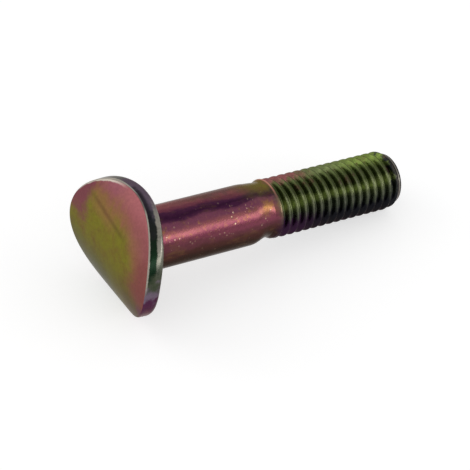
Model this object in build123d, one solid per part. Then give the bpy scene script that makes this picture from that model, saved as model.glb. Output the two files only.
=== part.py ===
from build123d import *
import math
import os

# Driving dimensions, in millimetres
# The screw is drawn along Z, from the middle of its crown at 0 to its tip.
# X runs along the straight side of the saddle, and Y across its bend.

# Head: a thin oval plate, pressed to a saddle that sits on a round tube
tube_diameter = 27.0
head_thickness = 2.4
head_length = 19.5
head_width = 16.7
crown_edge_chamfer = 0.15
seat_edge_radius = 1.0

# Plain shank, from the middle of the seat to the cone
shank_diameter = 8.1
shank_length = 18.2
under_head_radius = 0.8

# Cone and neck, where the wire comes down to the blank that the thread is rolled on
cone_length = 1.9
neck_diameter = 7.3
neck_length = 0.7

# Thread of 8 mm, drawn plain over its crests, with the run-in at its start
thread_diameter = 7.94
thread_length = 20.5
run_in_length = 0.7
tip_chamfer = 1.1
tip_diameter = 6.7

# Where each stretch starts, from the middle of the crown
cone_start = head_thickness + shank_length
neck_start = cone_start + cone_length
thread_start = neck_start + neck_length
screw_length = thread_start + thread_length
tip_start = screw_length - tip_chamfer

# The saddle: crown and seat have the tube's radius, one head thickness apart
bend_radius = tube_diameter / 2
rim_drop = bend_radius - math.sqrt(bend_radius**2 - (head_width / 2) ** 2)
rim_slope = math.asin(head_width / 2 / bend_radius)


def bend_cylinder(top):
    """A round bar along X, as thick as the tube, whose nearest line is at this height."""
    end = Plane(origin=(-head_length, 0, top + bend_radius), x_dir=(0, 0, 1), z_dir=(1, 0, 0))
    return end * extrude(Circle(bend_radius), 2 * head_length)


def seat_corner():
    """Half the angle between rim and seat at the bent sides, where it is sharpest."""
    return (math.pi / 2 - rim_slope) / 2


def seat_fillet_radius():
    """The seat edge's radius, no more than the rim's wall has room for."""
    wall = head_thickness - 2 * crown_edge_chamfer
    return min(seat_edge_radius, wall * math.tan(seat_corner()))


def make_head():
    """The oval plate between crown and seat: a broken edge at the crown, a round one at the seat."""
    oval = extrude(Ellipse(head_length / 2, head_width / 2), head_thickness + rim_drop)
    saddle = (oval & bend_cylinder(0)) - bend_cylinder(head_thickness)
    crown = saddle.faces().sort_by(Axis.Z)[0]
    saddle = chamfer(crown.edges(), crown_edge_chamfer)
    seat = saddle.faces().filter_by(GeomType.CYLINDER).sort_by(Axis.Z)[-1]
    return fillet(seat.edges(), seat_fillet_radius())


def make_shaft():
    """Shank, cone, neck, thread and chamfered tip, turned in one, from inside the head."""
    outline = Polyline(
        (0, head_thickness / 2),
        (shank_diameter / 2, head_thickness / 2),
        (shank_diameter / 2, cone_start),
        (neck_diameter / 2, neck_start),
        (neck_diameter / 2, thread_start),
        (thread_diameter / 2, thread_start + run_in_length),
        (thread_diameter / 2, tip_start),
        (tip_diameter / 2, screw_length),
        (0, screw_length),
        close=True,
    )
    return revolve(Plane.XZ * make_face(outline), Axis.Z)


def shank_root(screw):
    """The edge where the shank comes out of the seat."""
    round_faces = screw.faces().filter_by(GeomType.CYLINDER)
    turned = round_faces.filter_by(lambda face: abs(face.axis_of_rotation.direction.Z) > 0.5)
    shank = turned.sort_by(Axis.Z)[0]
    rings = shank.edges().filter_by(GeomType.LINE, reverse=True)
    return rings.sort_by(Axis.Z)[0]


def make_screw():
    """Head and shaft in one piece, with the fillet under the head."""
    screw = make_head() + make_shaft()
    return fillet(shank_root(screw), under_head_radius)


def rest_tilt():
    """Tilt of the axis when the rounded rim and the end of the thread lie on one table."""
    rounding = seat_fillet_radius()
    rounding_centre = head_thickness + rim_drop - rounding / math.tan(seat_corner())
    rise = head_width / 2 - rounding - thread_diameter / 2
    run = tip_start - rounding_centre
    return math.atan2(rise, run) + math.asin(rounding / math.hypot(rise, run))


def lie_down(screw):
    """The screw at rest: tip towards +X, bent sides above and below, centred on the floor."""
    tilt = rest_tilt()
    along_screw = (math.cos(tilt), 0, -math.sin(tilt))
    resting = Plane(origin=(0, 0, 0), x_dir=(0, 1, 0), z_dir=along_screw)
    laid = resting.location * screw
    box = laid.bounding_box()
    return Pos(-box.center().X, -box.center().Y, -box.min.Z) * laid


screw = lie_down(make_screw())
os.makedirs("parts", exist_ok=True)
export_step(screw, "parts/saddle_head_screw.step")
print("rest tilt", round(math.degrees(rest_tilt()), 3), "degrees")
print("volume", round(screw.volume, 1), "mm3, size", screw.bounding_box().size)
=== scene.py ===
"""Saddle-head screw of cold-formed steel under a yellow chromate film, at rest on a pale table.

One closed mesh stands for the one solid. Head, shank, cone and tip are rings worked out from the
sizes below, in millimetres, and the rolled thread is a Geometry Nodes tree with named inputs. All
of them are made along Z, from the middle of the crown to the tip, and then laid down as the screw
rests. X runs along the straight side of the saddle, and Y across its bend.
"""

import logging
import math
from dataclasses import dataclass, field
from enum import Enum
from typing import Sequence

import bmesh
import bpy
from mathutils import Matrix, Vector


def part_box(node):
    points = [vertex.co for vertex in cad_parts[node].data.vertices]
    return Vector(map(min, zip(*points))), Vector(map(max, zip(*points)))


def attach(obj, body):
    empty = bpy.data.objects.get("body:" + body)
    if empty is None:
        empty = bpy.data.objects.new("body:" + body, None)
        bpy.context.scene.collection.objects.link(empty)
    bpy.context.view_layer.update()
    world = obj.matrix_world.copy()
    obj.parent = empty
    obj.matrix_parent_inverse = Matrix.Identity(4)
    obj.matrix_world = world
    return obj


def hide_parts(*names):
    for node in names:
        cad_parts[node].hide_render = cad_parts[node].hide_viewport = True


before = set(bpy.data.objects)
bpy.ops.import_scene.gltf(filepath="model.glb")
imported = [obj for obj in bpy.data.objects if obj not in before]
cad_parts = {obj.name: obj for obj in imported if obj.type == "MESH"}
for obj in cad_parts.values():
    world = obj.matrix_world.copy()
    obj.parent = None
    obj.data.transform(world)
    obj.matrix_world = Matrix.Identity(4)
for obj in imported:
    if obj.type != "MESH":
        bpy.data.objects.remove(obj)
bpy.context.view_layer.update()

LOG = logging.getLogger("saddle_head_screw")
NODE = "saddle_head_screw"
MM = 0.001
COLUMNS = 144
FULL_TURN = 2 * math.pi
STRAIGHT_SIDE = 180.0
FLAT = (1.0, 1.0, 0.0)
RING_FLATNESS = 0.01

Ring = list[Vector]
Socket = bpy.types.NodeSocket
Span = tuple[float, float]
Band = tuple[Span, Span]
Waves = tuple[float, float, float]


def blend(start: float, end: float, share: float) -> float:
    """Return the value that lies this share of the way from start to end."""
    return start + (end - start) * share


def slerp(start: Vector, end: Vector, share: float) -> Vector:
    """Turn one unit vector towards another.

    Args:
        start: The direction at share 0.
        end: The direction at share 1.
        share: How far to turn.

    Returns:
        The unit vector between them, on the great arc.
    """
    angle = start.angle(end)
    if angle < 1e-6:
        return start.copy()
    return (start * math.sin((1 - share) * angle) + end * math.sin(share * angle)) / math.sin(angle)


def soft_step(value: float, start: float, end: float) -> float:
    """Return 0 before start, 1 after end and a smooth rise between them."""
    share = min(1.0, max(0.0, (value - start) / (end - start)))
    return share * share * (3 - 2 * share)


def angles() -> list[float]:
    """Return the angle of each column of the mesh, in radians."""
    return [FULL_TURN * column / COLUMNS for column in range(COLUMNS)]


def shares(steps: int) -> list[float]:
    """Return equal shares, from the first step to 1."""
    return [step / steps for step in range(1, steps + 1)]


def on_circle(angle: float, radius: float, height: float = 0.0) -> Vector:
    """Return the point at this angle round the axis."""
    return Vector((radius * math.cos(angle), radius * math.sin(angle), height))


def circle(radius: float, height: float) -> Ring:
    """Return a flat ring round the axis."""
    return [on_circle(angle, radius, height) for angle in angles()]


def new_object(name: str, data: bpy.types.ID) -> bpy.types.Object:
    """Put a new object into the scene.

    Args:
        name: The object's name.
        data: Its mesh, lamp or camera.

    Returns:
        The object, at the origin.
    """
    thing = bpy.data.objects.new(name, data)
    bpy.context.scene.collection.objects.link(thing)
    return thing


@dataclass
class SaddleHead:
    """The thin oval head, pressed to a saddle that sits on a round tube.

    Crown and seat have the tube's radius, one thickness apart. The rim is a plain wall with a
    broken edge at the crown and a full round one at the seat, and it spreads a little towards the
    seat along the straight side, where the blow of the press pushed it out.
    """

    bend_radius: float = 13.5
    thickness: float = 2.4
    half_length: float = 9.75
    half_width: float = 8.35
    crown_edge_radius: float = 0.22
    seat_edge_radius: float = 1.0
    upper_edge_radius: float = 0.58
    under_head_radius: float = 0.8
    outline_offset: float = -0.15
    rim_spread: float = 0.14
    rim_tuck: float = 0.06
    spread_starts_at: float = 5.0
    upper_side: Span = (0.0, 0.7)
    crown_rows: tuple[float, ...] = (
        0.06, 0.14, 0.22, 0.3, 0.38, 0.46, 0.54, 0.62, 0.7, 0.78, 0.85, 0.91, 0.96, 0.985, 1.0
    )
    crown_edge_rows: int = 5
    wall_rows: int = 4
    seat_edge_rows: int = 10
    seat_rows: tuple[float, ...] = (0.15, 0.3, 0.45, 0.6, 0.75, 0.9, 1.0)
    root_rows: int = 7

    def crown_height(self, across: float) -> float:
        """Return how far down the axis the crown lies, at this place across the bend."""
        return self.bend_radius - math.sqrt(self.bend_radius**2 - across**2)

    def seat_height(self, across: float) -> float:
        """Return how far down the axis the seat lies, at this place across the bend."""
        return self.crown_height(across) + self.thickness

    def rim_point(self, angle: float) -> Vector:
        """Return the point of the oval outline at this angle, seen along the axis."""
        along = self.outline_offset + self.half_length * math.cos(angle)
        return Vector((along, self.half_width * math.sin(angle), 0))

    def seat_rounding(self, angle: float) -> float:
        """Return the radius of the seat's edge at this angle, tighter on the upper side."""
        upper = soft_step(math.sin(angle), *self.upper_side)
        return blend(self.seat_edge_radius, self.upper_edge_radius, upper)

    def rim_normal(self, angle: float) -> Vector:
        """Return the outward direction of the rim's wall at this angle."""
        slope = Vector((math.cos(angle) / self.half_length, math.sin(angle) / self.half_width, 0))
        return slope.normalized()

    def ball(
        self, spot: Vector, radius: float, axis_height: float, side: int = 1
    ) -> tuple[Vector, Vector]:
        """Set a ball against the crown or the seat.

        Args:
            spot: Where the ball's centre lies, seen along the axis of the screw.
            radius: The ball's radius.
            axis_height: How far down the screw's axis the axis of the bend lies.
            side: 1 for a ball inside the bend, -1 for one outside.

        Returns:
            The ball's centre, and the direction in which it touches the face.
        """
        reach = self.bend_radius - side * radius
        centre = Vector((spot.x, spot.y, axis_height - math.sqrt(reach**2 - spot.y**2)))
        return centre, side * Vector((0, centre.y, centre.z - axis_height)) / reach

    def crown_ball(self, angle: float) -> tuple[Vector, Vector]:
        """Roll a ball inside the rim, along the crown's edge."""
        spot = self.rim_point(angle) - self.crown_edge_radius * self.rim_normal(angle)
        return self.ball(spot, self.crown_edge_radius, self.bend_radius)

    def seat_ball(self, angle: float) -> tuple[Vector, Vector]:
        """Roll a ball inside the rim, along the seat's edge."""
        spot = self.rim_point(angle) - self.seat_rounding(angle) * self.rim_normal(angle)
        return self.ball(spot, self.seat_rounding(angle), self.thickness + self.bend_radius, -1)

    def root_ball(self, angle: float, shank_radius: float) -> tuple[Vector, Vector]:
        """Roll a ball round the shank, in the corner under the head."""
        spot = on_circle(angle, shank_radius + self.under_head_radius)
        return self.ball(spot, self.under_head_radius, self.thickness + self.bend_radius)

    def section(self, angle: float, shank_radius: float) -> list[Vector]:
        """Walk down one column of the skin, with straight walls.

        Args:
            angle: The column's angle.
            shank_radius: The radius of the shank that the seat ends at.

        Returns:
            The points from near the middle of the crown, over the rim and the seat, and down the
            fillet to the top of the shank.
        """
        wall, inwards = self.rim_normal(angle), -on_circle(angle, 1.0)
        crown, up = self.crown_ball(angle)
        seat, down = self.seat_ball(angle)
        root, under = self.root_ball(angle, shank_radius)
        edge, fillet = self.crown_edge_radius, self.under_head_radius
        spots = []
        for share in self.crown_rows:
            spot = (crown + edge * up) * share
            spots.append(Vector((spot.x, spot.y, self.crown_height(spot.y))))
        spots += [crown + edge * slerp(up, wall, share) for share in shares(self.crown_edge_rows)]
        for share in shares(self.wall_rows)[:-1]:
            spot = self.rim_point(angle)
            spots.append(Vector((spot.x, spot.y, blend(crown.z, seat.z, share))))
        for share in [0.0] + shares(self.seat_edge_rows):
            spots.append(seat + self.seat_rounding(angle) * slerp(wall, down, share))
        outer, inner = spots[-1], root + fillet * under
        for share in self.seat_rows:
            spot = outer.lerp(inner, share)
            spots.append(Vector((spot.x, spot.y, self.seat_height(spot.y))))
        spots += [root + fillet * slerp(under, inwards, share) for share in shares(self.root_rows)]
        return spots

    def pressed(self, spot: Vector) -> Vector:
        """Spread the rim along the straight side and tuck it in across the bend, towards the seat.

        Args:
            spot: A point of the head with straight walls.

        Returns:
            The point after the blow of the press, unchanged near the shank.
        """
        depth = (spot.z - self.crown_height(min(abs(spot.y), self.half_width))) / self.thickness
        weight = soft_step(spot.xy.length, self.spread_starts_at, self.half_width)
        weight *= max(-1.0, min(1.0, 2 * depth - 1))
        along = 1 + weight * self.rim_spread / self.half_length
        across = 1 - max(0.0, weight) * self.rim_tuck / self.half_width
        return Vector((spot.x * along, spot.y * across, spot.z))

    def rings(self, shank_radius: float) -> list[Ring]:
        """Return the whole head, from the middle of the crown to the top of the shank."""
        plain = zip(*(self.section(angle, shank_radius) for angle in angles()))
        return [[Vector((0, 0, 0))]] + [[self.pressed(spot) for spot in ring] for ring in plain]

    def corner(self) -> float:
        """Return half the angle between rim and seat at the bent sides, in radians."""
        return (math.pi / 2 - math.asin(self.half_width / self.bend_radius)) / 2


@dataclass
class Shank:
    """The plain shank, with the cone and the neck that bring it down to the thread's blank."""

    radius: float = 4.05
    cone_start: float = 20.6
    cone_length: float = 1.9
    neck_radius: float = 3.65
    neck_length: float = 0.7
    neck_runout: tuple[float, float] = (0.1, 0.11)
    shoulder_softness: float = 0.45
    runout_fade: Span = (0.2, 1.6)
    fillet_gap: float = 0.4
    plain_gap: float = 1.0
    shoulder_gap: float = 0.8
    thread_gap: float = 0.1
    plain_rows: int = 10
    shoulder_rows: int = 26
    softness_steps: int = 8

    def thread_start(self) -> float:
        """Return where the neck ends and the thread begins, along the axis."""
        return self.cone_start + self.cone_length + self.neck_length

    def radius_at(self, height: float) -> float:
        """Return the radius of the shank, the cone or the neck, with their corners rounded.

        Args:
            height: How far along the axis, from the middle of the crown.

        Returns:
            The radius, as the mean of the sharp outline over a short length each side.
        """
        radii = []
        for place in [0.0] + shares(self.softness_steps):
            offset = blend(-self.shoulder_softness, self.shoulder_softness, place)
            share = min(1.0, max(0.0, (height + offset - self.cone_start) / self.cone_length))
            radii.append(blend(self.radius, self.neck_radius, share))
        return sum(radii) / len(radii)

    def drawn_aside(self, spot: Vector) -> Vector:
        """Shift a point near the neck, which runs a little off the axis.

        Args:
            spot: A point of the shaft with a true axis.

        Returns:
            The shifted point, unchanged away from the neck.
        """
        rise = soft_step(spot.z, self.cone_start, self.cone_start + self.cone_length)
        fall = soft_step(spot.z - self.thread_start(), *self.runout_fade)
        return spot + Vector((*self.neck_runout, 0)) * rise * (1 - fall)

    def rings(self, under_head: float) -> list[Ring]:
        """Return the rings from below the fillet to just above the thread.

        Args:
            under_head: Where the fillet under the head has ended on every side.

        Returns:
            One flat ring for each height, close together on the cone.
        """
        heights = [under_head + self.fillet_gap]
        for foot, rows in (
            (self.cone_start - self.plain_gap, self.plain_rows),
            (self.cone_start - self.shoulder_gap, 1),
            (self.thread_start() - self.thread_gap, self.shoulder_rows),
        ):
            heights += [blend(heights[-1], foot, share) for share in shares(rows)]
        return [circle(self.radius_at(height), height) for height in heights]


def to_linear(share: float) -> float:
    """Return the linear share of light for an sRGB one."""
    return share / 12.92 if share <= 0.04045 else ((share + 0.055) / 1.055) ** 2.4


class Film(Enum):
    """The tints of the chromate film, as they look under plain white light (sRGB, 0 to 255); some
    also serve as painted highlight and painted shade, where noted.
    """

    OLIVE = (117, 113, 34)
    STRAW = (220, 192, 158)
    AMBER = (140, 101, 63)
    GREY_GREEN = (84, 90, 52)
    BRONZE = (108, 78, 44)
    ROSE = (146, 84, 88)
    ROSEWOOD = (128, 72, 68)
    GOLD = (168, 122, 62)
    GREY_BROWN = (104, 80, 76)
    MAUVE = (124, 68, 90)
    MAGENTA = (120, 60, 76)
    PLUM = (72, 30, 62)
    AUBERGINE = (56, 18, 50)
    PEARL = (232, 158, 140)
    WINE = (92, 48, 56)
    BROWN = (72, 40, 36)
    UMBER = (44, 28, 22)
    LEAF = (112, 132, 58)
    FERN = (70, 80, 43)
    MOSS = (86, 95, 60)
    SAGE = (120, 130, 84)
    BOTTLE = (60, 66, 50)
    PINE = (16, 38, 22)
    INK = (33, 37, 34)
    NIGHT = (11, 12, 20)
    GRAPHITE = (50, 52, 56)
    PEWTER = (94, 98, 94)
    VIOLET = (46, 18, 48)
    SLATE = (104, 89, 105)
    ZINC = (196, 190, 176)

    def linear(self) -> tuple[float, ...]:
        """Return the tint as the linear colour that a shader socket takes."""
        return tuple(to_linear(channel / 255) for channel in self.value) + (1.0,)


Tint = Socket | Film
Stops = tuple[tuple[float, Film], ...]


class Value:
    """A number in a node tree, for use in plain arithmetic."""

    def __init__(self, board: "NodeBoard", socket: Socket) -> None:
        """Take the socket that carries the number, and the board it is on."""
        self.board = board
        self.socket = socket

    def apply(self, operation: str, *values: "Number") -> "Value":
        """Return the result of one of Blender's calculations, which starts with this number."""
        return self.board.math(operation, self, *values)

    def __add__(self, other: "Number") -> "Value":
        """Return the sum."""
        return self.apply("ADD", other)

    def __sub__(self, other: "Number") -> "Value":
        """Return the difference."""
        return self.apply("SUBTRACT", other)

    def __mul__(self, other: "Number") -> "Value":
        """Return the product."""
        return self.apply("MULTIPLY", other)

    def __truediv__(self, other: "Number") -> "Value":
        """Return the quotient."""
        return self.apply("DIVIDE", other)

    def at_least(self, other: "Number") -> "Value":
        """Return the larger of the two."""
        return self.apply("MAXIMUM", other)

    def at_most(self, other: "Number") -> "Value":
        """Return the smaller of the two."""
        return self.apply("MINIMUM", other)

    def ramp(self, start: float, end: float) -> "Value":
        """Follow the number with a smooth rise between two limits.

        Args:
            start: Where the rise begins, which may be above end.
            end: Where the rise is complete.

        Returns:
            0 at start and before it, 1 at end and beyond.
        """
        limits = {"Value": self, "From Min": start, "From Max": end}
        node = self.board.add("ShaderNodeMapRange", limits, interpolation_type="SMOOTHSTEP")
        return Value(self.board, node.outputs[0])

    def band(self, rise: Span, fall: Span) -> "Value":
        """Return 1 between a smooth rise and a smooth fall, and 0 beyond them."""
        return self.ramp(*rise) * self.ramp(fall[1], fall[0])

    def line(self, middle: float, half_width: float) -> "Value":
        """Return 1 on a narrow line, which fades over the outer two thirds of its half width."""
        near = half_width / 3
        return self.band((middle - half_width, middle - near), (middle + near, middle + half_width))


Number = Value | float


class NodeBoard:
    """A node tree with short calls for the few kinds of node that this screw needs."""

    def __init__(self, tree: bpy.types.NodeTree) -> None:
        """Take a node tree and clear it."""
        self.tree = tree
        tree.nodes.clear()

    @classmethod
    def of(cls, owner: bpy.types.ID) -> "NodeBoard":
        """Switch on the nodes of a material or a world, and take its tree."""
        owner.use_nodes = True
        return cls(owner.node_tree)

    def add(self, kind: str, inputs: dict | None = None, **settings: object) -> bpy.types.Node:
        """Add one node.

        Args:
            kind: Blender's name for the node's type.
            inputs: What its inputs take, by their name or number.
            **settings: Properties of the node itself.

        Returns:
            The new node.
        """
        node = self.tree.nodes.new(kind)
        for name, value in settings.items():
            setattr(node, name, value)
        for key, value in (inputs or {}).items():
            self.feed(node.inputs[key], value)
        return node

    def feed(self, socket: Socket, value: object) -> None:
        """Link a socket to another one, or set it to a constant.

        Args:
            socket: The input that takes the value.
            value: A number of the tree, another socket, a tint of the film or a constant.
        """
        if isinstance(value, Value):
            value = value.socket
        if isinstance(value, Socket):
            self.tree.links.new(value, socket)
        else:
            socket.default_value = value.linear() if isinstance(value, Film) else value

    def math(self, operation: str, *values: Number) -> Value:
        """Return the result of one of Blender's calculations, from its inputs in order."""
        node = self.add("ShaderNodeMath", dict(enumerate(values)), operation=operation)
        return Value(self, node.outputs[0])

    def vector_math(self, operation: str, *values: Socket | Sequence[float]) -> bpy.types.Node:
        """Return the node of one of Blender's calculations with positions."""
        return self.add("ShaderNodeVectorMath", dict(enumerate(values)), operation=operation)

    def noise(self, place: Socket, scale: float, detail: float, roughness: float) -> Value:
        """Make soft noise between 0 and 1, around one half.

        Args:
            place: The position socket.
            scale: How fine the noise is, in waves for each unit of the position.
            detail: How many finer layers it has.
            roughness: How strong the finer layers are.

        Returns:
            The noise at that position.
        """
        inputs = {"Vector": place, "Scale": scale, "Detail": detail, "Roughness": roughness}
        return Value(self, self.add("ShaderNodeTexNoise", inputs).outputs[0])

    def tint_ramp(self, value: Value, stops: Stops) -> Socket:
        """Return a colour that changes with a value between 0 and 1.

        Args:
            value: The number that picks the colour.
            stops: Positions in rising order, each with its tint.

        Returns:
            The socket with the colour.
        """
        node = self.add("ShaderNodeValToRGB", {"Fac": value})
        node.color_ramp.interpolation = "EASE"
        elements = node.color_ramp.elements
        while len(elements) < len(stops):
            elements.new(1.0)
        for element, (position, tint) in zip(elements, stops):
            element.position = position
            element.color = tint.linear()
        return node.outputs["Color"]

    def mix(self, share: Number, first: Tint, second: Tint, blend_type: str = "MIX") -> Socket:
        """Mix two colours.

        Args:
            share: How much of the second colour is used.
            first: The first colour.
            second: The second colour.
            blend_type: Blender's name for the way of mixing.

        Returns:
            The socket with the mixed colour.
        """
        node = self.add("ShaderNodeMix", {"Factor": share}, data_type="RGBA", blend_type=blend_type)
        colours = {socket.name: socket for socket in node.inputs if socket.type == "RGBA"}
        self.feed(colours["A"], first)
        self.feed(colours["B"], second)
        return next(socket for socket in node.outputs if socket.type == "RGBA")


@dataclass
class RolledThread:
    """The right-hand rolled thread, from its run-in at the neck to the chamfered tip.

    The mesh is a strip that winds round the axis, so its rows run along the turns. The strip is cut
    off flat at both ends, where the thread has faded into the blank.
    """

    start: float
    neck_radius: float
    crest_radius: float = 3.97
    depth: float = 0.75
    pitch: float = 1.25
    length: float = 20.5
    run_in: float = 0.6
    fade_in: float = 0.9
    fade_out: float = 0.7
    tip_radius: float = 3.35
    tip_chamfer: float = 1.1
    tip_edge: float = 0.22
    crest_line: float = 24.706
    crest_half_width: float = 0.07
    crest_rounding: float = 0.14
    root_rounding: float = 0.22
    chamfer_rounding: float = 0.12
    flank_slope: float = math.tan(math.radians(60))
    rows_per_turn: int = 18
    row_gathering: float = 0.6
    tip_edge_rows: int = 5
    tip_rows: tuple[float, ...] = (0.8, 0.55, 0.3)
    weld: float = 0.0015
    inputs: dict[str, float] = field(init=False)

    def __post_init__(self) -> None:
        """Work out the named inputs of the tree from the sizes."""
        first = math.floor((self.start - self.crest_line) / self.pitch) - 1
        last = math.ceil((self.end() - self.crest_line) / self.pitch)
        self.inputs = {
            "Columns": COLUMNS + 1,
            "Rows": (last - first) * self.rows_per_turn + 1,
            "Turns": float(last - first),
            "First Turn": float(first),
            "Row Gathering": self.row_gathering / (2 * FULL_TURN),
            "Crest Line": self.crest_line,
            "Pitch": self.pitch,
            "Start": self.start,
            "End": self.end(),
            "Crest Radius": self.crest_radius,
            "Neck Radius": self.neck_radius,
            "Depth": self.depth,
            "Run In": self.run_in,
            "Fade In": self.fade_in,
            "Fade Out": self.fade_out,
            "Crest Half Width": self.crest_half_width,
            "Crest Rounding": self.crest_rounding,
            "Root Rounding": self.root_rounding,
            "Chamfer Rounding": self.chamfer_rounding,
            "Flank Slope": self.flank_slope,
            "Tip Line": self.tip_radius + self.chamfer_slope() * self.tip_height(),
            "Chamfer Slope": self.chamfer_slope(),
        }

    def tip_height(self) -> float:
        """Return where the flat end of the tip lies, along the axis."""
        return self.start + self.length

    def end(self) -> float:
        """Return where the winding strip stops, short of the tip's rounded edge."""
        return self.tip_height() - self.tip_edge

    def chamfer_slope(self) -> float:
        """Return how fast the radius falls along the tip's chamfer."""
        return (self.crest_radius - self.tip_radius) / self.tip_chamfer

    def tree(self, steel: bpy.types.Material) -> bpy.types.NodeTree:
        """Build the Geometry Nodes tree of the thread.

        Args:
            steel: The material that the tree gives to its faces.

        Returns:
            The tree, with one named input for each size.
        """
        tree = bpy.data.node_groups.new("rolled_thread", "GeometryNodeTree")
        for name, value in self.inputs.items():
            kind = "NodeSocketInt" if isinstance(value, int) else "NodeSocketFloat"
            tree.interface.new_socket(name, in_out="INPUT", socket_type=kind)
        tree.interface.new_socket("Geometry", in_out="OUTPUT", socket_type="NodeSocketGeometry")
        board = NodeBoard(tree)
        group = board.add("NodeGroupInput").outputs
        sizes = {name: Value(board, group[name]) for name in self.inputs}
        corners = {"Vertices X": sizes["Columns"], "Vertices Y": sizes["Rows"]}
        grid = board.add("GeometryNodeMeshGrid", {"Size X": 1.0, "Size Y": 1.0} | corners)
        position = board.add("GeometryNodeInputPosition").outputs[0]
        place = board.add("ShaderNodeSeparateXYZ", {0: position}).outputs
        around = Value(board, place["X"]) + 0.5
        height = self.height_nodes(sizes, around, (Value(board, place["Y"]) + 0.5) * sizes["Turns"])
        radius = self.radius_nodes(sizes, around, height)
        angle = around * FULL_TURN
        spot = board.add("ShaderNodeCombineXYZ", {
            "X": radius * angle.apply("COSINE"), "Y": radius * angle.apply("SINE"), "Z": height,
        }).outputs[0]
        geometry = grid.outputs["Mesh"]
        for step, inputs in (
            ("SetPosition", {"Position": spot}),
            ("MergeByDistance", {"Distance": self.weld}),
            ("RealizeInstances", {}),
            ("SetMaterial", {"Material": steel}),
        ):
            geometry = board.add("GeometryNode" + step, {"Geometry": geometry} | inputs).outputs[0]
        board.add("NodeGroupOutput", {"Geometry": geometry})
        return tree

    def height_nodes(self, sizes: dict[str, Value], around: Value, turn: Value) -> Value:
        """Give each point of the strip its place along the axis.

        Args:
            sizes: The tree's named inputs.
            around: The point's share of a full circle.
            turn: The row's place, in turns of the thread.

        Returns:
            The height, with rows gathered at crest and root, cut off flat at both ends.
        """
        swing = (turn * (2 * FULL_TURN)).apply("SINE")
        turns = turn - swing * sizes["Row Gathering"] + sizes["First Turn"] + around
        winding = turns * sizes["Pitch"] + sizes["Crest Line"]
        return winding.at_least(sizes["Start"]).at_most(sizes["End"])

    def radius_nodes(self, sizes: dict[str, Value], around: Value, height: Value) -> Value:
        """Give each point of the strip its distance from the axis.

        Args:
            sizes: The tree's named inputs.
            around: The point's share of a full circle.
            height: The point's place along the axis.

        Returns:
            The radius of the blank less the thread's groove, which fades at both ends.
        """
        from_start = height - sizes["Start"]
        rise = (from_start / sizes["Run In"]).at_most(1.0)
        blank = rise * (sizes["Crest Radius"] - sizes["Neck Radius"]) + sizes["Neck Radius"]
        chamfer = sizes["Tip Line"] - height * sizes["Chamfer Slope"]
        blank = blank.apply("SMOOTH_MIN", chamfer, sizes["Chamfer Rounding"])
        phase = (height - sizes["Crest Line"]) / sizes["Pitch"]
        aside = (phase - around).apply("PINGPONG", 0.5) * sizes["Pitch"]
        flank = (sizes["Crest Half Width"] - aside) * sizes["Flank Slope"] + sizes["Depth"]
        tooth = flank.apply("SMOOTH_MIN", sizes["Depth"], sizes["Crest Rounding"])
        tooth = tooth.apply("SMOOTH_MAX", 0.0, sizes["Root Rounding"])
        cut = (sizes["Crest Radius"] - sizes["Depth"] + tooth).at_most(blank)
        early = ((from_start - sizes["Run In"]) / sizes["Fade In"]).ramp(0.0, 1.0)
        late = ((sizes["End"] - height) / sizes["Fade Out"]).ramp(0.0, 1.0)
        return (cut - blank) * (early * late) + blank

    def strip(self, steel: bpy.types.Material) -> bpy.types.Mesh:
        """Run the tree once and keep its result as a plain mesh.

        Args:
            steel: The screw's material.

        Returns:
            The thread's open sleeve, in millimetres along Z.
        """
        carrier = new_object("thread_carrier", bpy.data.meshes.new("thread_carrier"))
        modifier = carrier.modifiers.new("rolled_thread", "NODES")
        modifier.node_group = self.tree(steel)
        for socket in modifier.node_group.interface.items_tree:
            if socket.in_out == "INPUT":
                modifier[socket.identifier] = self.inputs[socket.name]
        graph = bpy.context.evaluated_depsgraph_get()
        mesh = bpy.data.meshes.new_from_object(carrier.evaluated_get(graph))
        carrier.modifiers.remove(modifier)
        bpy.data.objects.remove(carrier)
        return mesh

    def tip_rings(self, last: Ring) -> list[Ring]:
        """Return the rounded edge of the tip and its flat end, from the strip's last ring.

        Args:
            last: The ring in which the winding strip ends.

        Returns:
            The rings down to the middle of the flat end.
        """
        end_radius = last[0].xy.length
        rings = []
        for share in shares(self.tip_edge_rows):
            turned = share * math.pi / 2
            radius = end_radius - self.tip_edge * (1 - math.cos(turned))
            rings.append(circle(radius, self.end() + self.tip_edge * math.sin(turned)))
        for share in self.tip_rows:
            rings.append(circle((end_radius - self.tip_edge) * share, self.tip_height()))
        rings.append([Vector((0, 0, self.tip_height()))])
        return rings


def open_rims(strip: bpy.types.Mesh, start: float) -> tuple[Ring, Ring]:
    """Find the two rings in which an open sleeve ends.

    Args:
        strip: The sleeve's mesh.
        start: The height of its first ring.

    Returns:
        The first ring and the last, each in order of its angle.
    """
    shell = bmesh.new()
    shell.from_mesh(strip)
    loose = [vertex.co.copy() for vertex in shell.verts if vertex.is_boundary]
    shell.free()

    def by_angle(spot: Vector) -> int:
        """Return the column that a point belongs to."""
        return round(math.atan2(spot.y, spot.x) / FULL_TURN * COLUMNS) % COLUMNS

    loose.sort(key=by_angle)
    first = [spot for spot in loose if math.isclose(spot.z, start, abs_tol=RING_FLATNESS)]
    return first, [spot for spot in loose if spot not in first]


class Measure(Enum):
    """What the fade of a patch goes by, in the screw's own frame."""

    HEIGHT = "millimetres down the axis from the crown, with ragged borders"
    TURN = "share of a turn round the shaft, with ragged borders"
    ALONG = "millimetres along the straight side of the saddle, drifting"
    ACROSS = "millimetres across the bend, drifting"
    SLANT = "millimetres across less those along, drifting"
    SIDE = "millimetres along the straight side, sharp"
    # The faint line is a painted reflection in the crown.
    OFF_REFLECTION = "millimetres from the faint line in the crown, sharp"


Fade = tuple[Measure, float, float]


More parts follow.
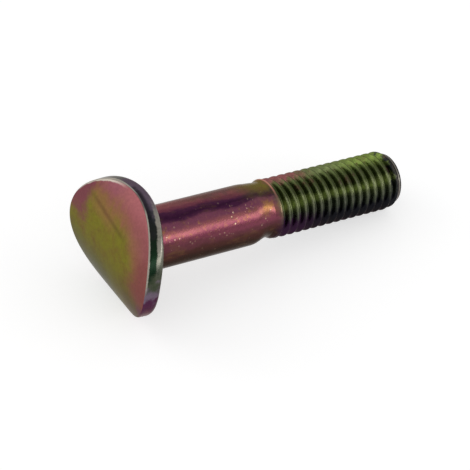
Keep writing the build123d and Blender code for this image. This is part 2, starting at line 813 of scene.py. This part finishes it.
@dataclass(frozen=True)
class Patch:
    """A zone where the film has another tint.

    Each fade names a measure, where on it the patch begins and where it is complete. The patch is
    as strong as all its fades together.
    """

    tint: Film
    strength: float
    fades: tuple[Fade, ...]

    def weight(self, measures: dict[Measure, Value]) -> Value:
        """Work out how strong the patch is.

        Args:
            measures: What the fades go by.

        Returns:
            The patch's strength, with all its fades.
        """
        weight = self.strength
        for measure, start, end in self.fades:
            weight = measures[measure].ramp(start, end) * weight
        return weight


@dataclass(frozen=True)
class YellowChromate:
    """The finish: bright steel under a film whose tint drifts with its thickness, with painted
    highlight and painted shade in parts of it.

    Lengths are in millimetres and shares of a turn from 0 to 1. Waves are a noise's scale, detail
    and roughness. Drift and raggedness say how far a noise moves a border, an onset is where it
    begins to show and where it is in full, and most other values are weights.
    """

    # Gloss, coat and grain, with the crown satin and the rest polished
    satin: float = 0.36
    polish: float = 0.26
    gloss_range: float = 0.22
    worn_polish: float = 0.06
    coat_weight: float = 0.12
    coat_roughness: float = 0.15
    grazing_tint: tuple[float, float, float, float] = (0.54, 0.5, 0.48, 1.0)
    gloss_waves: Waves = (1.1, 4.0, 0.6)
    grain_waves: Waves = (5.0, 4.0, 0.6)
    grain_height: float = 0.011

    # Tint of shank and thread, by the share of a turn with the bright side at one half, with painted
    # highlight and painted shade
    bright_side: float = 136.6
    drift_waves: Waves = (0.5, 5.0, 0.62)
    turn_drift: float = 0.1
    ragged_waves: Waves = (0.8, 6.0, 0.68)
    ragged_height: float = 5.0
    ragged_turn: float = 0.16
    meeting_drift: float = 1.2
    drawn_out: tuple[float, float, float] = (1.0, 1.0, 0.4)
    meeting: Span = (-0.2, 1.4)
    mottle: float = 0.5
    mottle_waves: Waves = (2.6, 5.0, 0.65)
    # Gold flecks, painted only along the highlight on the bright side
    highlight_flecks: float = 0.6
    fleck_waves: Waves = (1.7, 5.0, 0.7)
    fleck_onset: Span = (0.52, 0.7)
    fleck_highlight_side: Band = ((0.42, 0.49), (0.51, 0.58))
    clouds: float = 0.45
    cloud_waves: Waves = (0.9, 6.0, 0.7)
    cloud_onset: Span = (0.5, 0.72)
    stains: float = 0.6
    stain_waves: Waves = (0.6, 4.0, 0.6)
    stain_onset: Span = (0.54, 0.66)
    stain_side: Band = ((0.28, 0.34), (0.44, 0.5))
    # A pale line painted on the first crest's upper side, as a highlight
    ridge_shine: float = 0.8
    ridge_gap: float = 0.04
    ridge_half_width: float = 0.15
    ridge_side: Span = (0.5, 0.33)
    # Painted light round the shank: rose at one half is a painted highlight, the plum band above it
    # is the film's tint darkened as a painted reflection, and brown and umber towards the underside
    # are painted shade.
    around_shank: Stops = (
        (0.0, Film.BRONZE), (0.14, Film.MAGENTA), (0.25, Film.GREY_BROWN), (0.305, Film.ROSE),
        (0.345, Film.ROSE), (0.372, Film.MAGENTA), (0.4, Film.PLUM), (0.417, Film.AUBERGINE),
        (0.434, Film.PLUM), (0.455, Film.MAUVE), (0.468, Film.MAUVE), (0.5, Film.ROSE),
        (0.54, Film.MAGENTA), (0.58, Film.WINE), (0.62, Film.BROWN), (0.68, Film.UMBER),
        (0.8, Film.UMBER), (0.9, Film.WINE), (1.0, Film.BRONZE),
    )
    # Painted light round the thread: pale sage at one half is a painted highlight, and near-black
    # night towards the underside is painted shade.
    around_thread: Stops = (
        (0.0, Film.MOSS), (0.14, Film.BRONZE), (0.25, Film.MOSS), (0.32, Film.FERN),
        (0.46, Film.FERN), (0.5, Film.SAGE), (0.57, Film.BOTTLE), (0.64, Film.NIGHT),
        (0.72, Film.NIGHT), (0.82, Film.VIOLET), (0.92, Film.BOTTLE), (1.0, Film.MOSS),
    )

    # Tint of crown and rim, the rim's by the share of a turn from one straight side
    off_crown: Span = (0.03, 0.06)
    crown_drift: float = 4.0
    crown_waves: Waves = (0.28, 5.0, 0.62)
    crown_raggedness: float = 0.55
    crown_ragged_waves: Waves = (1.2, 6.0, 0.72)
    bronze_waves: Waves = (0.5, 6.0, 0.7)
    bronze_onset: Span = (0.35, 0.9)
    # Where the painted reflection of a dark line runs across the crown
    crown_reflection_line: float = 3.9
    crown_reflection_slope: float = 0.13
    rim_drift: float = 0.12
    rim_waves: Waves = (0.6, 4.0, 0.6)
    # Painted shadow on the rim's wall just below the crown's edge
    inner_shade: float = 0.8
    inner_depth: Span = (1.0, 0.5)
    inner_side: Band = ((0.22, 0.26), (0.32, 0.38))
    seat_waves: Waves = (0.4, 4.0, 0.6)
    seat_oval: tuple[float, float, float] = (1.0, 1.15, 0.0)
    seat_reach: Span = (7.8, 8.9)
    under_rim: Span = (-0.1, 0.6)
    around_rim: Stops = (
        (0.0, Film.BRONZE), (0.08, Film.GREY_BROWN), (0.13, Film.PEWTER), (0.16, Film.PEWTER),
        (0.2, Film.SLATE), (0.29, Film.SLATE), (0.33, Film.GRAPHITE), (0.37, Film.INK),
        (0.4, Film.PINE), (0.44, Film.PINE), (0.47, Film.BOTTLE), (0.505, Film.SLATE),
        (0.53, Film.PLUM), (0.6, Film.MAGENTA), (0.8, Film.WINE), (1.0, Film.BRONZE),
    )

    # Wear on the crown's edge, the seat's edge, the tip's brim and the thread's crests, the last
    # three also painted highlight
    wear_waves: Waves = (1.4, 5.0, 0.7)
    edge_wear: float = 0.85
    edge_raggedness: float = 0.2
    edge_top: Span = (0.02, 0.06)
    edge_foot: Span = (0.36, 0.24)
    edge_along: Span = (9.2, 7.8)
    edge_across: Span = (-0.6, 3.2)
    edge_shelter: float = 0.65
    shelter_along: Band = ((-4.2, -2.8), (-0.9, 0.5))
    corner_width: float = 0.35
    corner_along: Span = (0.6, 4.6)
    corner_across: Span = (2.0, 4.5)
    corner_raggedness: float = 0.05
    corner_waves: Waves = (0.9, 5.0, 0.7)
    corner_reach: Span = (0.986, 1.0)
    corner_top: Span = (0.14, 0.06)
    # Zinc on the seat's edge: wear, and a painted highlight on its round edge
    seat_wear_and_sheen: float = 0.6
    seat_raggedness: float = 0.6
    seat_depth: Band = ((1.35, 1.6), (2.5, 2.75))
    seat_onset: Span = (0.05, 0.6)
    seat_side: Band = ((0.27, 0.35), (0.385, 0.48))
    # A bright line round the tip: wear, and a painted highlight on its edge
    brim_wear_and_sheen: float = 0.4
    brim_gap: float = 0.4
    brim_half_width: float = 0.12
    # Zinc on the crests: wear, and a painted highlight on the bright side
    crest_wear_and_sheen: float = 0.16
    crest_raggedness: float = 2.0
    crest_start: Span = (1.0, 3.0)
    crest_onset: Span = (0.3, 0.7)
    crest_top: Span = (-0.17, -0.02)
    crest_bright_side: Band = ((0.4, 0.48), (0.52, 0.66))
    crest_shade: float = 0.1

    # Pits, paler and deeper on the bright side as a painted glint
    pit_scale: float = 2.8
    pit_size: float = 0.17
    pit_border: Span = (1.9, 1.0)
    pit_share: float = 0.5
    pit_waves: Waves = (0.7, 2.0, 0.5)
    pit_onset: Span = (0.4, 0.65)
    pit_start: Span = (4.5, 6.5)
    pit_end: Span = (0.0, -1.0)
    pit_glint_side: Band = ((0.4, 0.48), (0.52, 0.6))
    pit_depth: float = 1.5
    pit_glint_paleness: float = 0.85
    pit_light: float = 0.8
    pit_shade: float = 0.15

    def crown_patches(self) -> list[Patch]:
        """List the zones of the crown, from the olive middle outwards, and its faint line, a painted
        reflection with an amber band along it.

        Returns:
            The patches, from the lowest up.
        """
        along, across, slant = Measure.ALONG, Measure.ACROSS, Measure.SLANT
        side, off_reflection = Measure.SIDE, Measure.OFF_REFLECTION
        return [
            # Painted shade: grey-green and brown darken the crown towards its bottom.
            Patch(Film.GREY_GREEN, 1.0, ((across, 0.5, -6.5), (along, -5.0, 2.0))),
            Patch(Film.BROWN, 0.75, ((across, 0.5, -5.5), (along, -0.5, -7.5))),
            Patch(Film.AMBER, 0.85, ((slant, 6.2, 9.2),)),
            Patch(Film.AMBER, 0.85, ((across, 3.6, 5.8),)),
            Patch(Film.ROSEWOOD, 1.0, ((along, -4.4, -8.0), (across, -4.0, -1.0))),
            Patch(Film.ROSE, 0.85, ((slant, 6.0, 10.0), (across, 2.0, 6.0))),
            Patch(Film.ROSE, 0.85, ((across, 4.6, 7.4),)),
            Patch(Film.MAUVE, 0.5, ((across, 5.0, 8.0), (along, -2.0, 4.0))),
            Patch(Film.MAGENTA, 0.9, ((along, 4.6, 7.0), (across, -0.6, 2.0))),
            Patch(Film.MAGENTA, 0.8, ((along, -7.2, -8.6), (across, -1.2, -3.4))),
            Patch(Film.PLUM, 0.6, ((along, -7.6, -8.8), (across, -2.4, -4.4))),
            # Painted reflection: the faint brown line, with an amber band along it, stands for a
            # dark line that the crown reflects.
            Patch(Film.AMBER, 0.6, ((off_reflection, 1.9, 0.3), (side, -2.0, 1.5), (side, 7.0, 4.0))),
            Patch(Film.BROWN, 0.35, ((off_reflection, 0.5, 0.0), (side, -4.0, -1.0), (side, 7.0, 4.0))),
        ]

    def shank_patches(self) -> list[Patch]:
        """List the dull upper side, the green patch above the cone and the golden one on it, which
        is partly a painted highlight.

        Returns:
            The patches, from the lowest up.
        """
        height, turn = Measure.HEIGHT, Measure.TURN
        return [
            Patch(Film.GREY_BROWN, 0.75, (
                (height, 7.0, 15.0), (height, 23.0, 21.0), (turn, 0.16, 0.24), (turn, 0.38, 0.32),
            )),
            Patch(Film.OLIVE, 0.85, (
                (height, 17.5, 22.6), (height, 25.0, 23.2), (turn, 0.15, 0.25), (turn, 0.46, 0.34),
            )),
            # Gold where the highlight crosses the cone: the film's tint and a painted highlight.
            Patch(Film.GOLD, 0.65, (
                (height, 20.4, 21.8), (height, 23.6, 22.4), (turn, 0.43, 0.475), (turn, 0.55, 0.49),
            )),
        ]

    def thread_patches(self) -> list[Patch]:
        """List the rose start, the violet underside, the green top and the dark end.

        Returns:
            The patches, from the lowest up.
        """
        height, turn = Measure.HEIGHT, Measure.TURN
        return [
            Patch(Film.ROSE, 0.85, ((height, 31.5, 28.0), (turn, 0.12, 0.2), (turn, 0.38, 0.3))),
            Patch(Film.VIOLET, 1.0, ((height, 32.0, 26.0), (turn, 0.56, 0.63), (turn, 0.9, 0.8))),
            Patch(Film.SAGE, 0.7, (
                (height, 29.0, 32.0), (height, 43.0, 41.0), (turn, 0.16, 0.24), (turn, 0.38, 0.3),
            )),
            Patch(Film.LEAF, 0.85, (
                (height, 33.0, 39.0), (height, 43.0, 42.4), (turn, 0.16, 0.24), (turn, 0.42, 0.33),
            )),
            Patch(Film.GRAPHITE, 0.85, ((height, 41.9, 42.7),)),
            Patch(Film.NIGHT, 0.7, ((height, 42.0, 42.6), (turn, 0.3, 0.4), (turn, 0.9, 0.8))),
        ]


@dataclass
class FilmPainter:
    """The finish as nodes on one screw: the tint of the film with its painted highlight and shade,
    its wear, its gloss and its grain.

    Every position that it works with is the shaded point's, in the screw's own frame and in
    millimetres, and the place matrix is what lays the screw down from there.
    """

    finish: YellowChromate
    head: SaddleHead
    thread: RolledThread
    place: Matrix

    def __post_init__(self) -> None:
        """Start the material, find the shaded point and make the noise that breaks up the wear."""
        self.steel = bpy.data.materials.new("yellow_chromate")
        self.board = NodeBoard.of(self.steel)
        shift, turn, scale = self.place.inverted().decompose()
        mapping = self.board.add("ShaderNodeMapping", {
            "Vector": self.board.add("ShaderNodeTexCoord").outputs["Object"],
            "Location": shift,
            "Rotation": turn.to_euler(),
            "Scale": scale,
        })
        self.point = mapping.outputs[0]
        axes = self.board.add("ShaderNodeSeparateXYZ", {0: self.point}).outputs
        self.along, self.across, self.height = (Value(self.board, axis) for axis in axes)
        inside = self.across * self.across * -1.0 + self.head.bend_radius**2
        self.depth = self.height - self.head.bend_radius + inside.at_least(0.0).apply("SQRT")
        self.turn = self.turn_share(self.finish.bright_side)
        self.rim_turn = self.turn_share(STRAIGHT_SIDE)
        self.rough = self.noise(*self.finish.wear_waves)

    def noise(self, scale: float, detail: float, roughness: float) -> Value:
        """Return soft noise at the shaded point, in waves for each millimetre."""
        return self.board.noise(self.point, scale, detail, roughness)

    def turn_share(self, middle: float) -> Value:
        """Return the share of a turn round the axis, with this angle in degrees at one half."""
        angle = self.across.apply("ARCTAN2", self.along) / FULL_TURN
        return (angle + (1.5 - middle / 360)).apply("FRACT")

    def radius(self, scale: Sequence[float], shift: Sequence[float] = (0, 0, 0)) -> Value:
        """Return the distance from the axis, after the position is stretched and shifted."""
        moved = self.board.vector_math("MULTIPLY_ADD", self.point, scale, shift).outputs[0]
        return Value(self.board, self.board.vector_math("LENGTH", moved).outputs["Value"])

    def material(self) -> bpy.types.Material:
        """Build the node material.

        Returns:
            The finished material.
        """
        finish, board = self.finish, self.board
        under_rim = (self.depth - self.head.thickness).ramp(*finish.under_rim)
        tint = board.mix(under_rim, self.rim_tint(), self.shaft_tint())
        off_crown = self.depth.ramp(*finish.off_crown)
        tint = board.mix(off_crown, self.crown_tint(), tint)
        shade = self.noise(*finish.mottle_waves) * finish.mottle + (1 - finish.mottle / 2)
        grey = board.add("ShaderNodeCombineColor", {0: shade, 1: shade, 2: shade}).outputs[0]
        tint = board.mix(1.0, tint, grey, "MULTIPLY")
        pits = self.pits()
        # Pale pits, with a painted glint on the bright side.
        tint = board.mix(pits * finish.pit_glint_paleness, tint, Film.STRAW)
        # Zinc where the film is worn, and painted highlight on the seat's edge, the crests and the
        # tip's brim.
        wear_and_sheen = self.wear_and_sheen()
        shader = board.add("ShaderNodeBsdfPrincipled", {
            "Base Color": board.mix(wear_and_sheen, tint, Film.ZINC),
            "Metallic": 1.0,
            "Roughness": self.gloss(off_crown, wear_and_sheen),
            "Coat Weight": finish.coat_weight,
            "Coat Roughness": finish.coat_roughness,
            "Specular Tint": finish.grazing_tint,
            "Normal": self.grain(pits),
        })
        board.add("ShaderNodeOutputMaterial", {"Surface": shader.outputs[0]})
        return self.steel

    def patched(
        self, tint: Socket, patches: Sequence[Patch], measures: dict[Measure, Value]
    ) -> Socket:
        """Lay patches over a tint, one after the other.

        Args:
            tint: The tint below.
            patches: The patches, from the lowest up.
            measures: What their fades go by.

        Returns:
            The socket with the colour.
        """
        for patch in patches:
            tint = self.board.mix(patch.weight(measures), tint, patch.tint)
        return tint

    def shaft_tint(self) -> Socket:
        """Return the tint of shank, cone and thread, with painted highlight on the bright side and
        painted shade towards the underside.

        Returns:
            The socket with the colour.
        """
        finish, board = self.finish, self.board
        drawn = board.vector_math("MULTIPLY", self.point, finish.drawn_out).outputs[0]
        drift = board.noise(drawn, *finish.drift_waves) - 0.5
        moved = drift * finish.turn_drift + self.turn
        ragged = self.noise(*finish.ragged_waves) - 0.5
        measures = {
            Measure.HEIGHT: ragged * finish.ragged_height + self.height,
            Measure.TURN: ragged * finish.ragged_turn + self.turn,
        }
        plain = board.tint_ramp(moved, finish.around_shank)
        plain = self.patched(plain, finish.shank_patches(), measures)
        # Painted highlight: gold flecks only in the band where the key light strikes the shank.
        highlight_flecks = self.noise(*finish.fleck_waves).ramp(*finish.fleck_onset)
        highlight_flecks = highlight_flecks * self.turn.band(*finish.fleck_highlight_side)
        plain = board.mix(highlight_flecks * finish.highlight_flecks, plain, Film.GOLD)
        clouds = board.noise(drawn, *finish.cloud_waves).ramp(*finish.cloud_onset)
        plain = board.mix(clouds * finish.clouds, plain, Film.BRONZE)
        turned = board.tint_ramp(moved, finish.around_thread)
        turned = self.patched(turned, finish.thread_patches(), measures)
        stains = board.noise(drawn, *finish.stain_waves).ramp(*finish.stain_onset)
        stains = stains * self.turn.band(*finish.stain_side)
        turned = board.mix(stains * finish.stains, turned, Film.BROWN)
        meeting = drift * finish.meeting_drift + self.height - self.thread.start
        tint = board.mix(meeting.ramp(*finish.meeting), plain, turned)
        # Painted highlight: a pale pink line along the first crest, on its upper side only.
        crest = self.thread.start + self.thread.run_in - finish.ridge_gap
        ridge_highlight = self.height.line(crest, finish.ridge_half_width) * self.turn.ramp(*finish.ridge_side)
        return board.mix(ridge_highlight * finish.ridge_shine, tint, Film.PEARL)

    def crown_tint(self) -> Socket:
        """Return the tint of the crown: olive in the middle, rose towards two of its edges.

        Returns:
            The socket with the colour.
        """
        finish = self.finish
        ragged = self.noise(*finish.crown_ragged_waves) - 0.5
        drift = ragged * finish.crown_raggedness + (self.noise(*finish.crown_waves) - 0.5)
        along = drift * finish.crown_drift + self.along
        across = drift * finish.crown_drift + self.across
        # Distance from the painted reflection line in the crown
        off_reflection = self.along * -finish.crown_reflection_slope + self.across - finish.crown_reflection_line
        measures = {
            Measure.ALONG: along,
            Measure.ACROSS: across,
            Measure.SLANT: across - along,
            Measure.SIDE: self.along,
            Measure.OFF_REFLECTION: off_reflection.apply("ABSOLUTE"),
        }
        uneven = self.noise(*finish.bronze_waves).ramp(*finish.bronze_onset)
        tint = self.board.mix(uneven, Film.OLIVE, Film.BRONZE)
        return self.patched(tint, finish.crown_patches(), measures)

    def rim_tint(self) -> Socket:
        """Return the tint of the rim and of the seat behind it, with painted shadow under the
        crown's edge on one side.

        Returns:
            The socket with the colour.
        """
        finish, board = self.finish, self.board
        drift = self.noise(*finish.rim_waves) - 0.5
        share = drift * finish.rim_drift + self.rim_turn
        around = board.tint_ramp(share, finish.around_rim)
        # Painted shadow: night on the rim's wall just below the crown's edge, on one side.
        inner = self.depth.ramp(*finish.inner_depth) * share.band(*finish.inner_side)
        around = board.mix(inner * finish.inner_shade, around, Film.NIGHT)
        seat = board.mix(self.noise(*finish.seat_waves), Film.MAGENTA, Film.OLIVE)
        return board.mix(self.radius(finish.seat_oval).ramp(*finish.seat_reach), seat, around)

    def wear_and_sheen(self) -> Value:
        """Work out where the zinc shows: worn film, and painted highlight on the seat's edge, the
        crests and the tip's brim.

        Returns:
            The share of zinc tint, on the head's edges, the crests and the tip.
        """
        finish = self.finish
        # The brim: a bright line round the tip, wear and a painted highlight on its edge.
        tip = self.thread.tip_height() - finish.brim_gap
        brim = self.height.line(tip, finish.brim_half_width)
        return (
            (self.worn_crown_edge() * finish.edge_wear)
            .at_least(self.worn_and_lit_seat_edge() * finish.seat_wear_and_sheen)
            .at_least(self.worn_and_lit_crests() * finish.crest_wear_and_sheen)
            .at_least(brim * finish.brim_wear_and_sheen)
        )

    def worn_crown_edge(self) -> Value:
        """Find the worn line on the crown's edge, which is chewed and wider at one corner.

        Returns:
            1 where the film is gone.
        """
        finish, head = self.finish, self.head
        corner = self.along.ramp(*finish.corner_along) * self.across.ramp(*finish.corner_across)
        stretch = self.along.ramp(*finish.edge_along)
        sheltered = self.along.band(*finish.shelter_along)
        below = self.rough * finish.edge_raggedness + self.depth
        below = corner * -finish.corner_width + below
        line = below.ramp(*finish.edge_foot) * self.depth.ramp(*finish.edge_top)
        line = line * self.across.ramp(*finish.edge_across) * stretch
        line = line * (sheltered * -finish.edge_shelter + 1.0)
        oval = (1 / head.half_length, 1 / head.half_width, 0.0)
        reach = self.radius(oval, (-head.outline_offset / head.half_length, 0.0, 0.0))
        reach = self.noise(*finish.corner_waves) * finish.corner_raggedness + reach
        chewed = reach.ramp(*finish.corner_reach) * self.depth.ramp(*finish.corner_top)
        return line.at_least(chewed * corner * stretch)

    def worn_and_lit_seat_edge(self) -> Value:
        """Find the pale band on one side of the rim, towards the seat: rubbed film and a painted
        highlight on the seat's round edge.

        Returns:
            1 where the film is gone.
        """
        finish = self.finish
        # Painted highlight as well as wear: the zinc band lies on the seat's round edge, on one side
        # only.
        band = (self.rough * finish.seat_raggedness + self.depth).band(*finish.seat_depth)
        return band * self.rough.ramp(*finish.seat_onset) * self.rim_turn.band(*finish.seat_side)

    def worn_and_lit_crests(self) -> Value:
        """Find the rubbed crests of the thread, with a painted highlight on them on its bright side.

        Returns:
            1 where the film is thinnest and the painted highlight strongest.
        """
        finish = self.finish
        # Painted highlight: the crests' zinc tint is strong on the bright side and faint elsewhere.
        bright_facing = self.turn.band(*finish.crest_bright_side)
        proud = (self.radius(FLAT) - self.thread.crest_radius).ramp(*finish.crest_top)
        past = self.rough * finish.crest_raggedness + self.height - self.thread.start
        worn = proud * self.rough.ramp(*finish.crest_onset) * past.ramp(*finish.crest_start)
        return worn * (bright_facing * (1 - finish.crest_shade) + finish.crest_shade)

    def pits(self) -> Value:
        """Scatter small pits over the shank, where the film is thin and pale, paler on the bright
        side as a painted glint.

        Returns:
            Up to 1 in a pit and 0 beside it.
        """
        finish, board = self.finish, self.board
        cells = board.add("ShaderNodeTexVoronoi", {
            "Vector": self.point, "Scale": finish.pit_scale,
        }).outputs
        split = board.add("ShaderNodeSeparateColor", {0: cells["Color"]}).outputs
        chance, size, strength = (Value(board, channel) for channel in split)
        size = size * finish.pit_size + 0.5 * finish.pit_size
        dot = (Value(board, cells["Distance"]) / size).ramp(*finish.pit_border)
        crowded = self.noise(*finish.pit_waves).ramp(*finish.pit_onset)
        chosen = chance.apply("LESS_THAN", crowded * finish.pit_share)
        on_shank = (self.height - self.thread.start).ramp(*finish.pit_end)
        on_shank = on_shank * self.height.ramp(*finish.pit_start)
        # Painted glint: the pits are paler and deeper on the bright side than elsewhere.
        lit = self.turn.band(*finish.pit_glint_side) * finish.pit_light + finish.pit_shade
        return dot * chosen * on_shank * lit * strength.ramp(0.0, 1.0)

    def gloss(self, off_crown: Value, wear_and_sheen: Value) -> Value:
        """Work out the roughness: satin on the crown, glossier elsewhere and where it is worn.

        Args:
            off_crown: 0 on the crown and 1 beyond its edge.
            wear_and_sheen: The share of zinc tint, from worn film and painted highlight.

        Returns:
            The roughness.
        """
        finish = self.finish
        base = off_crown * (finish.polish - finish.satin) + finish.satin
        uneven = self.noise(*finish.gloss_waves) * finish.gloss_range - finish.gloss_range / 2
        return wear_and_sheen * -finish.worn_polish + (base + uneven)

    def grain(self, pits: Value) -> Socket:
        """Return the normal of the fine grain and the pits.

        Args:
            pits: 1 where the pits are.

        Returns:
            The socket with the normal.
        """
        finish = self.finish
        height = pits * -finish.pit_depth + self.noise(*finish.grain_waves)
        bump = {"Distance": finish.grain_height * MM, "Height": height}
        return self.board.add("ShaderNodeBump", bump).outputs[0]


@dataclass
class Screw:
    """The whole screw: its one closed mesh, laid down as it rests."""

    head: SaddleHead = field(default_factory=SaddleHead)
    shank: Shank = field(default_factory=Shank)
    finish: YellowChromate = field(default_factory=YellowChromate)
    thread: RolledThread = field(init=False)

    def __post_init__(self) -> None:
        """Start the thread where the shank's neck ends."""
        self.thread = RolledThread(self.shank.thread_start(), self.shank.neck_radius)

    def rest_tilt(self) -> float:
        """Work out the tilt of the axis with rim and thread on one table.

        Returns:
            The angle below level, in radians.
        """
        rounding = self.head.seat_edge_radius
        rim_centre = self.head.seat_height(self.head.half_width)
        rim_centre -= rounding / math.tan(self.head.corner())
        rise = self.head.half_width - rounding - self.thread.crest_radius
        run = self.thread.tip_height() - self.thread.tip_chamfer - rim_centre
        return math.atan2(rise, run) + math.asin(rounding / math.hypot(rise, run))

    def place(self, low: Vector, high: Vector) -> Matrix:
        """Work out how the screw lies, from its own frame in millimetres.

        Args:
            low: The lowest corner of the solid that the screw stands for.
            high: Its highest corner.

        Returns:
            The matrix that turns the screw and puts it where the solid is.
        """
        thread = self.thread
        sine, cosine = math.sin(self.rest_tilt()), math.cos(self.rest_tilt())
        turn = Matrix(((0, sine, cosine), (1, 0, 0), (0, cosine, -sine))).to_4x4()
        tip_low = (thread.tip_chamfer - thread.tip_height()) * sine - thread.crest_radius * cosine
        tip_far = thread.tip_height() * cosine + thread.tip_radius * sine
        shift = Vector((high.x / MM - tip_far, (low.y + high.y) / 2 / MM, low.z / MM - tip_low))
        return Matrix.Scale(MM, 4) @ Matrix.Translation(shift) @ turn

    def shell(self, steel: bpy.types.Material) -> bpy.types.Mesh:
        """Join head, shank, thread and tip to one closed skin.

        Args:
            steel: The screw's material.

        Returns:
            The mesh, in millimetres along Z.
        """
        strip = self.thread.strip(steel)
        first, last = open_rims(strip, self.thread.start)
        head = self.head.rings(self.shank.radius)
        under_head = self.head.root_ball(math.pi / 2, self.shank.radius)[0].z
        skin = bmesh.new()
        skin.from_mesh(strip)
        lay_rings(skin, head + self.shank.rings(under_head) + [first])
        lay_rings(skin, [last] + self.thread.tip_rings(last))
        for vertex in skin.verts:
            vertex.co = self.shank.drawn_aside(vertex.co)
        bmesh.ops.remove_doubles(skin, verts=skin.verts, dist=self.thread.weld)
        bmesh.ops.recalc_face_normals(skin, faces=skin.faces)
        loose = sum(1 for edge in skin.edges if not edge.is_manifold)
        LOG.info("skin has %d faces and %d open edges", len(skin.faces), loose)
        mesh = bpy.data.meshes.new("screw")
        skin.to_mesh(mesh)
        skin.free()
        bpy.data.meshes.remove(strip)
        return mesh

    def build(self) -> bpy.types.Object:
        """Make the screw's object, dress it and hand it to the frame.

        Returns:
            The finished object.
        """
        low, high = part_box(NODE)
        place = self.place(low, high)
        steel = FilmPainter(self.finish, self.head, self.thread, place).material()
        mesh = self.shell(steel)
        mesh.transform(place)
        mesh.materials.clear()
        mesh.materials.append(steel)
        mesh.polygons.foreach_set("use_smooth", [True] * len(mesh.polygons))
        screw = new_object("screw", mesh)
        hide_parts(NODE)
        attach(screw, "root")
        return screw


def lay_rings(skin: bmesh.types.BMesh, rings: Sequence[Ring]) -> None:
    """Add a skin over a row of rings.

    Args:
        skin: The mesh that takes the faces.
        rings: The rings in order. A ring of one point closes the skin there.
    """
    rows = [[skin.verts.new(spot) for spot in ring] * (COLUMNS // len(ring)) for ring in rings]
    for upper, lower in zip(rows, rows[1:]):
        for column in range(COLUMNS):
            following = (column + 1) % COLUMNS
            corners = (upper[column], lower[column], lower[following], upper[following])
            skin.faces.new(tuple(dict.fromkeys(corners)))


@dataclass
class Studio:
    """The pale table, the soft lights and the camera."""

    table_size: float = 3.0
    table_white: float = 0.55
    table_lift: float = 0.6
    sky: float = 0.65
    target: tuple[float, float, float] = (-0.003364, -0.001155, 0.004611)
    azimuth: float = -34.71
    elevation: float = 40.23
    roll: float = 4.33
    distance: float = 0.24275
    lens: float = 144.0

    def floor(self) -> None:
        """Make the table, white to the camera and in reflections, with the screw's shadow on it."""
        half = self.table_size / 2
        mesh = bpy.data.meshes.new("table")
        corners = [(-half, -half, 0), (half, -half, 0), (half, half, 0), (-half, half, 0)]
        mesh.from_pydata(corners, [], [(0, 1, 2, 3)])
        table = new_object("table", mesh)
        white = bpy.data.materials.new("table_white")
        board = NodeBoard.of(white)
        matte = board.add("ShaderNodeBsdfDiffuse", {"Color": (self.table_white,) * 3 + (1.0,)})
        rays = board.add("ShaderNodeLightPath").outputs
        seen = Value(board, rays["Is Camera Ray"]).at_least(Value(board, rays["Is Glossy Ray"]))
        seen = seen.at_least(Value(board, rays["Is Transmission Ray"]))
        lift = board.add("ShaderNodeEmission", {"Strength": seen * self.table_lift})
        both = board.add("ShaderNodeAddShader", {0: matte.outputs[0], 1: lift.outputs[0]})
        board.add("ShaderNodeOutputMaterial", {"Surface": both.outputs[0]})
        mesh.materials.append(white)

    def world(self) -> None:
        """Make the soft, even sky."""
        world = bpy.data.worlds.new("studio")
        bpy.context.scene.world = world
        board = NodeBoard.of(world)
        sky = board.add("ShaderNodeBackground", {"Color": (1, 1, 1, 1), "Strength": self.sky})
        board.add("ShaderNodeOutputWorld", {"Surface": sky.outputs[0]})

    def softbox(
        self, name: str, towards: Sequence[float], distance: float, size: Span, power: float
    ) -> None:
        """Hang one soft lamp that looks at the screw.

        Args:
            name: The lamp's name.
            towards: The direction from the screw to the lamp.
            distance: How far away it hangs, in metres.
            size: Its width and height, in metres.
            power: Its power, in watts.
        """
        lamp = bpy.data.lights.new(name, "AREA")
        lamp.shape = "RECTANGLE"
        lamp.size, lamp.size_y = size
        lamp.energy = power
        away = Vector(towards).normalized()
        holder = new_object(name, lamp)
        holder.location = Vector(self.target) + away * distance
        holder.rotation_euler = away.to_track_quat("Z", "Y").to_euler()

    def lamps(self) -> None:
        """Hang the key lamp at the screw's right, a wide fill at its left and a low one behind."""
        self.softbox("key", (0.6, -0.72, 0.35), 0.6, (0.6, 0.16), 0.62)
        self.softbox("fill", (-0.65, 0.63, 0.5), 0.8, (0.6, 0.5), 0.9)
        self.softbox("rear", (-1.0, 0.0, 0.35), 0.5, (0.3, 0.16), 0.15)

    def camera(self) -> None:
        """Set up the camera at the photograph's viewing angle."""
        data = bpy.data.cameras.new("camera")
        data.lens = self.lens
        data.sensor_width = 36.0
        data.clip_start = 0.01
        data.clip_end = 20.0
        camera = new_object("camera", data)
        turn, lift = math.radians(self.azimuth), math.radians(self.elevation)
        level_part = math.cos(lift)
        back = Vector((math.sin(turn) * level_part, -math.cos(turn) * level_part, math.sin(lift)))
        level = (-back).to_track_quat("-Z", "Y").to_matrix()
        camera.matrix_world = (
            Matrix.Translation(Vector(self.target) + back * self.distance)
            @ level.to_4x4()
            @ Matrix.Rotation(math.radians(self.roll), 4, "Z")
        )
        bpy.context.scene.camera = camera

    def build(self) -> None:
        """Make the whole studio."""
        self.floor()
        self.world()
        self.lamps()
        self.camera()
        bpy.context.scene.view_settings.view_transform = "Standard"


def main() -> None:
    """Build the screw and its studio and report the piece."""
    screw = Screw()
    mesh = screw.build().data
    tilt = math.degrees(screw.rest_tilt())
    LOG.info("screw: %d vertices, tilt %.3f degrees", len(mesh.vertices), tilt)
    Studio().build()


if __name__ == "__main__":
    logging.basicConfig(level=logging.INFO, format="%(name)s: %(message)s")
    main()
